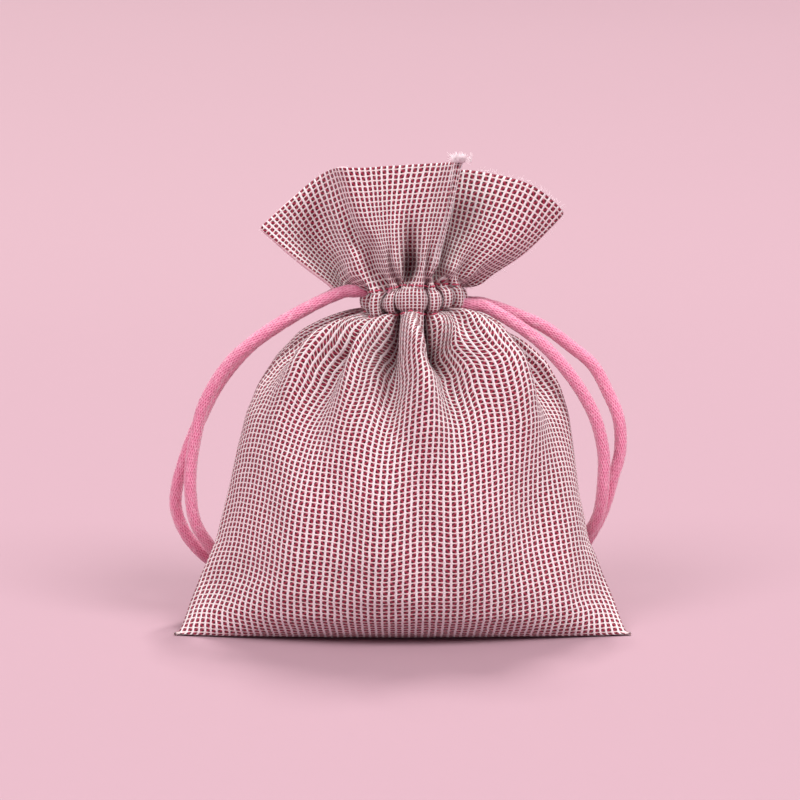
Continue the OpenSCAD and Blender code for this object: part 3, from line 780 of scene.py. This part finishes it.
def startShape():  # the pouch before it settles: body, casing and ruffle on one grid of flat places
    columns, rows = cloth["columns"], cloth["rows"]
    half = cloth["width"] / 2
    across = np.linspace(-half, half, columns + 1)
    shares = (across + half) / cloth["width"]
    up = np.linspace(0, cloth["height"], rows + 1)
    start, end = cloth["casingStart"], cloth["casingEnd"]
    grids = {}
    plans = ((-1, frontCasing, frontFolds, frontRuffle), (1, backCasing, backFolds, backRuffle))
    for side, casingKeys, folds, ruffle in plans:
        casing = smoothThrough(casingKeys[:, 0], casingKeys[:, 1:], shares)
        body = bodyGrid(side, shares, casing, folds)
        seam = np.zeros((1, columns + 1, 3))
        seam[0, :, 0] = across * cloth["baseHalfWidth"] / half
        seam[0, :, 1] = cloth["seamPlace"] + cloth["seamCurve"] * (across / half) ** 4
        body = np.vstack([seam, body])
        grid = np.zeros((rows + 1, columns + 1, 3))
        below = up <= start + 1e-6
        for k in range(columns + 1):  # each thread keeps its length low down and gives only in the gathers
            length = curveLength(body[:, k])
            low = shoulder["giveFrom"]
            reach = up[below] + (length - start) * smoothStep((up[below] - low) / (start - low))
            grid[below, k] = atShares(body[:, k], reach / length)
        levels = [np.column_stack([casing, np.full(columns + 1, cloth["casingHigh"])])]
        levels += list(smoothThrough(list(ruffle), list(ruffle.values()), shares).transpose(1, 0, 2))
        above = up >= end - 1e-6
        grid[above] = smoothThrough((end,) + ruffleLengths, levels, up[above])
        for j in np.nonzero(~below & ~above)[0]:
            t = (up[j] - start) / (end - start)
            grid[j, :, :2] = casing
            grid[j, :, 2] = cloth["casingLow"] + t * (cloth["casingHigh"] - cloth["casingLow"])
        droop = smoothThrough(droopShares, frontDroop if side == -1 else backDroop, shares)
        away = (up[:, None] - 0.5 * (start + end)) / cloth["droopReach"]
        grid[:, :, 2] += droop * np.exp(-(away**2))
        grids[side] = grid
    return grids, across, up


def sewGrids(grids, across, up):  # one mesh: the two panels share the bottom seam and the side seams
    columns, rows = cloth["columns"], cloth["rows"]
    index, points, flat, faces, sideOf = {}, [], [], [], []
    for side in (-1, 1):
        for j in range(rows + 1):
            for k in range(columns + 1):
                sewn = j == 0 or (k in (0, columns) and up[j] <= cloth["casingStart"] - 1)
                if side == 1 and sewn:
                    index[side, j, k] = index[-1, j, k]
                    continue
                index[side, j, k] = len(points)
                points.append(grids[side][j, k])
                flat.append((across[k], 0, up[j]))
    for side in (-1, 1):
        for j in range(rows):
            for k in range(columns):
                around = ((j, k), (j, k + 1), (j + 1, k + 1), (j + 1, k))
                corners = [index[(side, *place)] for place in around]
                faces.append(corners if side == -1 else corners[::-1])
                sideOf.append(side)
    return np.array(points), np.array(flat, float), faces, sideOf, index


def simulateCloth():
    grids, across, up = startShape()
    points, flat, faces, sideOf, index = sewGrids(grids, across, up)
    grow = cloth["scale"] * mm
    pouch = meshObject("pouchCloth", points * grow, faces)
    pouch.shape_key_add(name="Basis")
    cut = pouch.shape_key_add(name="flatCut")
    taken = flat * (cloth["spare"], 1, 1)
    cut.data.foreach_set("co", (taken * grow).ravel())
    pinned = pouch.vertex_groups.new(name="pinned")
    blown = pouch.vertex_groups.new(name="blown")
    for n, place in enumerate(flat):
        v = place[2]
        corner = v == 0 and abs(place[0]) > cloth["width"] / 2 - 0.1
        if corner or v >= cloth["casingStart"] - 0.5:
            pinned.add([n], 1.0, "REPLACE")
        elif v > cloth["pinFrom"]:  # the stiff gathers keep most of their shape
            stiff = float(smoothStep((v - cloth["pinFrom"]) / cloth["pinRise"]))
            pinned.add([n], cloth["pinShare"] * stiff, "REPLACE")
        if v < cloth["casingStart"]:
            blown.add([n], 1.0, "REPLACE")
    makeActive(pouch)
    modifier = pouch.modifiers.new("hang", "CLOTH")
    setting = modifier.settings
    setting.quality = 8
    setting.mass = 0.05
    setting.tension_stiffness = 60
    setting.compression_stiffness = 25
    setting.shear_stiffness = 10
    setting.bending_stiffness = cloth["bending"]
    setting.air_damping = 2
    setting.vertex_group_mass = "pinned"
    setting.rest_shape_key = cut
    setting.use_pressure = True
    setting.uniform_pressure_force = cloth["pressure"]
    setting.vertex_group_pressure = "blown"
    modifier.collision_settings.distance_min = 0.003
    bpy.ops.mesh.primitive_plane_add(size=10)
    ground = bpy.context.object
    ground.modifiers.new("ground", "COLLISION")
    ground.collision.thickness_outer = 0.001
    scene = bpy.context.scene
    frames = cloth["frames"]
    scene.frame_start = 1
    scene.frame_end = frames
    modifier.point_cache.frame_end = frames
    for number in range(1, frames + 1):
        scene.frame_set(number)
    makeActive(pouch)
    settled = pouch.evaluated_get(bpy.context.evaluated_depsgraph_get()).to_mesh()
    rest = np.zeros(len(points) * 3)
    settled.vertices.foreach_get("co", rest)
    bpy.data.objects.remove(ground)
    bpy.data.objects.remove(pouch)
    print("cloth simulated")
    return rest.reshape(-1, 3) / grow, flat, faces, sideOf, index, across, up


rest, flat, faces, sideOf, index, across, up = simulateCloth()


def flatPlaces(obj):  # each vertex's place on the flat panel, in mm
    places = np.zeros((len(obj.data.vertices), 2))
    layer = obj.data.uv_layers["flatPanel"]
    for loop in obj.data.loops:
        places[loop.vertex_index] = layer.data[loop.index].uv
    return places / mm


def bulgeCasing(obj):  # the cords inside push the folds' inner ends out between the two stitch rows
    places = flatPlaces(obj)
    start, end = cloth["casingStart"], cloth["casingEnd"]
    for vertex, (_, v) in zip(obj.data.vertices, places):
        if not start < v < end:
            continue
        t = (v - start) / (end - start)
        fill = math.sin(math.pi * t) ** 0.4
        x, y = vertex.co.x / mm - neckX, vertex.co.y / mm
        r = math.hypot(x, y)
        full = cloth["casingRadius"] + 0.28 * (r - 5)
        grown = r + fill * (max(0, full - r) + cloth["puff"])
        vertex.co.x = (neckX + x * grown / r) * mm
        vertex.co.y = y * grown / r * mm


outerCounts = {}


def splitCloth():  # the settled cloth, smoothed once and parted into panels, casings and flaps
    rest[:, 2] = np.maximum(rest[:, 2], cloth["floorGap"])  # the cloth rests on the floor
    whole = meshObject("wholeCloth", rest * mm, faces)
    layer = whole.data.uv_layers.new(name="flatPanel")
    for loop in whole.data.loops:
        place = flat[loop.vertex_index]
        layer.data[loop.index].uv = (place[0] * mm, place[2] * mm)
    part = whole.data.attributes.new("part", "INT", "FACE")
    for n, polygon in enumerate(whole.data.polygons):
        v = flat[list(polygon.vertices)][:, 2].mean()
        band = 0 if v < cloth["casingStart"] else 1 if v < cloth["casingEnd"] else 2
        part.data[n].value = band * 2 + (0 if sideOf[n] == -1 else 1)
    smooth = whole.modifiers.new("smooth", "SUBSURF")
    smooth.levels = smooth.render_levels = 1
    applyModifiers(whole)
    smoothShade(whole)
    bulgeCasing(whole)
    names = ["front_panel", "back_panel", "front_casing", "back_casing", "front_flap", "back_flap"]
    made = {}
    values = [item.value for item in whole.data.attributes["part"].data]
    for number, name in enumerate(names):
        piece = whole.copy()
        piece.data = whole.data.copy()
        piece.name = name + "_cloth"
        bpy.context.scene.collection.objects.link(piece)
        shell = bmesh.new()
        shell.from_mesh(piece.data)
        shell.faces.ensure_lookup_table()
        spare = [shell.faces[i] for i, value in enumerate(values) if value != number]
        bmesh.ops.delete(shell, geom=spare, context="FACES")
        shell.to_mesh(piece.data)
        shell.free()
        outerCounts[name] = len(piece.data.vertices)
        wall = piece.modifiers.new("wall", "SOLIDIFY")
        flap = "flap" in name
        wall.thickness = (cloth["flapThickness"] if flap else cloth["panelThickness"]) * mm
        wall.offset = -1
        piece.data.materials.append(clothMaterial)
        if flap:
            piece.data.materials.append(edgeMaterial)
            wall.material_offset_rim = 1
        applyModifiers(piece)
        for polygon in piece.data.polygons:  # only the free edges show their fold
            if flap and polygon.center.z < (cloth["casingHigh"] + 2) * mm and abs(polygon.center.x) < 0.019:
                polygon.material_index = 0
        made[name] = piece
    bpy.data.objects.remove(whole)
    print("cloth parted")
    return made


pieces = splitCloth()


def tubes(name, lines, material, sides=6):  # thin round threads, each a line with a radius for each point
    points, faces = [], []
    for line, radii in lines:
        line = np.array(line, float)
        _, first, second = turningFrames(line)
        base = len(points)
        for i in range(len(line)):
            for k in range(sides):
                angle = 2 * math.pi * k / sides
                outwards = math.cos(angle) * first[i] + math.sin(angle) * second[i]
                points.append(line[i] + radii[i] * outwards)
        for i in range(len(line) - 1):
            for k in range(sides):
                a, b = base + i * sides + k, base + i * sides + (k + 1) % sides
                faces.append((a, b, b + sides, a + sides))
        last = base + (len(line) - 1) * sides
        faces.append(tuple(range(base, base + sides))[::-1])
        faces.append(tuple(range(last, last + sides)))
    obj = meshObject(name, np.array(points) * mm, faces)
    smoothShade(obj)
    obj.data.materials.append(material)
    return obj


def outerLine(name, v=None, u=None):  # a line of the cloth's outer face, with its flat places and normals
    piece = pieces[name]
    places = flatPlaces(piece)[: outerCounts[name]]
    near = np.abs(places[:, 1] - v) < 0.2 if v is not None else np.abs(places[:, 0] - u) < 0.2
    picked = np.nonzero(near)[0]
    picked = picked[np.argsort(places[picked, 0 if v is not None else 1])]
    at = np.array([piece.data.vertices[int(i)].co for i in picked]) / mm
    normal = np.array([piece.data.vertices[int(i)].normal for i in picked])
    return places[picked, 0 if v is not None else 1], at, normal


stitch = {
    "length": 2.6,
    "pitch": 4.0,
    "radius": 0.21,
    "lift": 0.12,
    "bow": 0.16,
    "aside": 0.8333,  # from the casing's edge to its stitches
}


def stitchesAlong(name, run, line, normal):  # sewn stitches that lie on the line and bow up a little
    made = []
    shares = np.linspace(0, 1, 7)
    for begin in np.arange(run[0] + 0.7, run[-1] - stitch["length"], stitch["pitch"]):
        at = begin + shares * stitch["length"]
        place = np.stack([np.interp(at, run, line[:, k]) for k in range(3)], axis=-1)
        out = np.stack([np.interp(at, run, normal[:, k]) for k in range(3)], axis=-1)
        lift = stitch["lift"] + stitch["bow"] * np.sin(np.pi * shares) - 0.25 * (np.abs(shares - 0.5) > 0.45)
        radii = stitch["radius"] * (0.55 + 0.45 * np.sin(np.pi * shares))
        made.append((place + out * lift[:, None], radii))
    return tubes(name, made, threadMaterial)


def makeCasingStitches():
    for side in ("front", "back"):
        for row, v, name in (
            ("lower", cloth["casingStart"] - stitch["aside"], side + "_panel"),
            ("upper", cloth["casingEnd"] + stitch["aside"], side + "_flap"),
        ):
            run, line, normal = outerLine(name, v=v)
            piece = stitchesAlong(f"{side}_{row}_casing_thread", run, line, normal)
            settle(piece, "pouch", f"{side}_casing_{row}_stitches")
    print("casing stitches made")


allowance = {
    "width": 5.0,
    "inset": 1.0,  # the layers meet in the seam before this
    "thickness": 1.3,
    "stitchesIn": 2.2,  # from the edge of the pouch to the stitches
    "sideFrom": 6,
    "sideTo": 101,
    "bottomHalf": 52,
}


def allowanceStrip(name, line, inward):  # the two cut edges inside the seam, folded flat together
    steps = np.linspace(allowance["inset"], allowance["width"], 5)
    rows = [line + inward * step for step in steps]
    count = len(line)
    points = np.vstack(rows)
    faces = []
    for i in range(len(steps) - 1):
        for k in range(count - 1):
            a = i * count + k
            faces.append((a, a + 1, a + 1 + count, a + count))
    strip = meshObject(name, points * mm, faces)
    run = np.concatenate([[0], np.cumsum(np.linalg.norm(np.diff(line, axis=0), axis=1))])
    layer = strip.data.uv_layers.new(name="flatPanel")
    for loop in strip.data.loops:
        i, k = divmod(loop.vertex_index, count)
        layer.data[loop.index].uv = (steps[i] * mm, run[k] * mm)
    smoothShade(strip)
    strip.data.materials.append(clothMaterial)
    wall = strip.modifiers.new("wall", "SOLIDIFY")
    wall.thickness = allowance["thickness"] * mm
    wall.offset = 0
    applyModifiers(strip)
    return strip, run


def sewSeam(name, line, inward):  # the allowance inside the pouch and the stitches that close it
    strip, run = allowanceStrip(name + "_allowance_cloth", line, inward)
    settle(strip, "pouch", name + "_seam_allowance")
    face = np.tile((0.0, -1.0, 0.0), (len(line), 1))
    seam = line + inward * allowance["stitchesIn"] + face * allowance["thickness"] / 2
    thread = stitchesAlong(name + "_seam_thread", run, seam, face)
    settle(thread, "pouch", name + "_seam_stitches")


def makeSeams():
    for side, sign in (("left", -1), ("right", 1)):
        v, line, _ = outerLine("front_panel", u=sign * cloth["width"] / 2)
        line = line[(v > allowance["sideFrom"]) & (v < allowance["sideTo"])]
        along = np.gradient(line, axis=0)
        along /= np.linalg.norm(along, axis=1)[:, None]
        inward = np.cross(along, (0, sign, 0))
        inward /= np.linalg.norm(inward, axis=1)[:, None]
        sewSeam(side, line, inward)
    u, line, _ = outerLine("front_panel", v=0)
    line = line[np.abs(u) < allowance["bottomHalf"]]
    sewSeam("bottom", line, np.tile((0.0, 0.0, 1.0), (len(line), 1)))
    print("seams made")


def fibresFrom(chance, starts, heading, count, length, spread, radius=0.06):  # thin loose curling fibres
    made = []
    for _ in range(count):
        pick = chance.randrange(len(starts))
        start = np.array(starts[pick], float)
        way = np.array(heading[pick], float)
        way = way + np.array([chance.gauss(0, spread) for _ in range(3)])
        way /= np.linalg.norm(way)
        curl = np.array([chance.gauss(0, 1) for _ in range(3)])
        curl -= way * (curl @ way)
        reach = chance.uniform(*length)
        t = np.linspace(0, 1, 6)[:, None]
        line = start + way * reach * t + curl * reach * 0.28 * t**2
        line = line + np.roll(curl, 1) * reach * 0.12 * np.sin(5 * t)
        made.append((line, radius * (1 - 0.6 * t[:, 0])))
    return made


knot = {
    "strand": 1.55,  # radius of a strand in the knot, in mm
    "loop": 1.02,
    "depth": -1.35,
    "passes": ((0.0, -0.55), (0.42, 0.55)),  # turn in radians and shift in mm of the two strands
    "endLength": 12.0,
    "frayStarts": 40,
    "frayCount": 90,
    "frayLength": (1.2, 3.0),
    "frayRadius": 0.09,
    "leftPlace": (-13, 41, 4.9),
    "rightPlace": (16, 42, 4.9),
}


def makeKnot(side, way):  # both cord ends tied in one overhand knot, with two short frayed ends
    centre = np.array(knot[side + "Place"], float)
    chance = random.Random(11 if side == "left" else 12)
    t = np.linspace(0, 2 * math.pi, 90)
    parts = []
    for turn, shift in knot["passes"]:
        x = np.sin(3 * t) * knot["depth"] + shift
        y = (np.sin(t + turn) + 2 * np.sin(2 * t + 2 * turn)) * knot["loop"]
        z = (np.cos(t + turn) - 2 * np.cos(2 * t + 2 * turn)) * knot["loop"]
        loop = centre + np.stack([x, y, z], axis=-1)
        part, _ = braidedTube("strand", loop, knot["strand"])
        parts.append(part)
    frays = []
    for sign in (-1, 1):
        line = roundCurve([
            centre + (0, sign * 0.8, 0.4), centre + (way * 4, sign * 1.9, -0.4),
            centre + (way * 8, sign * 2.3, -1.9), centre + (way * knot["endLength"], sign * 3.1, -2.6),
        ])
        part, line = braidedTube("end", line, cord["diameter"] / 2)
        parts.append(part)
        tip, before = line[-1], line[-3]
        heading = (tip - before) / np.linalg.norm(tip - before)
        starts = []
        for _ in range(knot["frayStarts"]):
            start = tip + np.array([0, chance.gauss(0, 0.7), chance.gauss(0, 0.7)])
            starts.append(np.array([start[0], start[1], max(start[2], 0.5)]))
        ways = [heading] * len(starts)
        size = (knot["frayCount"], knot["frayLength"], 0.28, knot["frayRadius"])
        for line, radii in fibresFrom(chance, starts, ways, *size):
            line[:, 2] = np.maximum(line[:, 2], 0.15)  # they lie on the floor
            frays.append((line, radii))
    parts.append(tubes("fray", frays, cordFibreMaterial, 5))
    deselectAll()
    for part in parts:
        part.select_set(True)
    bpy.context.view_layer.objects.active = parts[0]
    bpy.ops.object.join()
    whole = parts[0]
    whole.name = side + "_tied_knot"
    settle(whole, side + "_cord_tails", side + "_cord_knot")
    return whole


fluff = {
    "rightShare": 0.78,  # the right part of the ruffle's top edge is more frayed
    "tuftShare": 0.565,  # place of the white tuft along that edge
    "tuftWidth": 0.8,
    "tuftCount": 420,
    "tuftLength": (1.0, 2.7),
}


def makeLooseFibres():
    chance = random.Random(5)
    _, line, _ = outerLine("front_flap", v=cloth["height"])
    heading = np.tile((0.0, -0.15, 1.0), (len(line), 1))
    count = len(line)
    right = [i for i in range(count) if i > fluff["rightShare"] * count]
    lines = fibresFrom(chance, line[right], heading[right] + (0.6, 0, -0.2), 90, (0.5, 1.7), 0.5, 0.05)
    lines += fibresFrom(chance, line, heading, 70, (0.3, 0.9), 0.5, 0.045)
    for sign in (-1, 1):
        _, edge, _ = outerLine("front_flap", u=sign * cloth["width"] / 2)
        way = np.tile((sign * 0.5, -0.1, -0.8), (len(edge), 1))
        lines += fibresFrom(chance, edge, way, 60, (0.5, 1.5), 0.5, 0.05)
    top = line[int(fluff["tuftShare"] * count)]
    wide = fluff["tuftWidth"]
    tuft = np.array([top + (chance.gauss(0, wide), chance.gauss(0, 0.4), -0.4) for _ in range(40)])
    upright = np.tile((0.0, -0.1, 1.0), (40, 1))
    lines += fibresFrom(chance, tuft, upright, fluff["tuftCount"], fluff["tuftLength"], 0.4, 0.08)
    fibres = tubes("edge_fibres", lines, fluffMaterial, 4)
    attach(fibres, "front_ruffle")
    print("loose fibres made")


makeCasingStitches()
makeSeams()
knots = {"left": makeKnot("left", 1), "right": makeKnot("right", -1)}
print("knots made")
makeLooseFibres()


for name in ("front_panel", "back_panel", "front_casing", "back_casing"):
    settle(pieces[name], "pouch", name)
for side in ("front", "back"):  # each flap keeps its settled shape where it is, and the frame's flap is hidden
    flap = pieces[side + "_flap"]
    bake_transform(flap)
    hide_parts(side + "_flap")

for name, (obj, line) in cords.items():  # each cord keeps its settled shape where it is, and the frame's lead and tail are hidden
    side, face, _ = name.split("_")
    sign, height = (-1, leftZ) if side == "left" else (1, rightZ)
    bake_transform(obj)
    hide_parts(f"{side}_cord_{face}_lead", f"{side}_cord_{face}_tail")

for side, height in (("left", 96.2), ("right", 93.0)):  # the stretch of each cord inside the casing
    turn = np.radians(np.linspace(50, 310, 60)) + (math.pi if side == "left" else 0)
    radius = cord["channelRadius"]
    ring = np.stack([neckX + radius * np.cos(turn), radius * np.sin(turn), np.full(60, height)], axis=-1)
    run, _ = braidedTube(side + "_cord_in_casing", ring, cord["channelStrand"])
    settle(run, "pouch", side + "_cord_channel_run")

for name, (obj, line) in cords.items():
    side = name.split("_")[0]
for side in ("front", "back"):
    for part, height in (("panel", cloth["casingStart"]), ("flap", cloth["height"] - cloth["casingEnd"])):
        piece = pieces[f"{side}_{part}"]
        area = sum(face.area for face in piece.data.polygons) / mm**2
        print(side, part, "area", int(area), "of", int(2 * cloth["width"] * height))
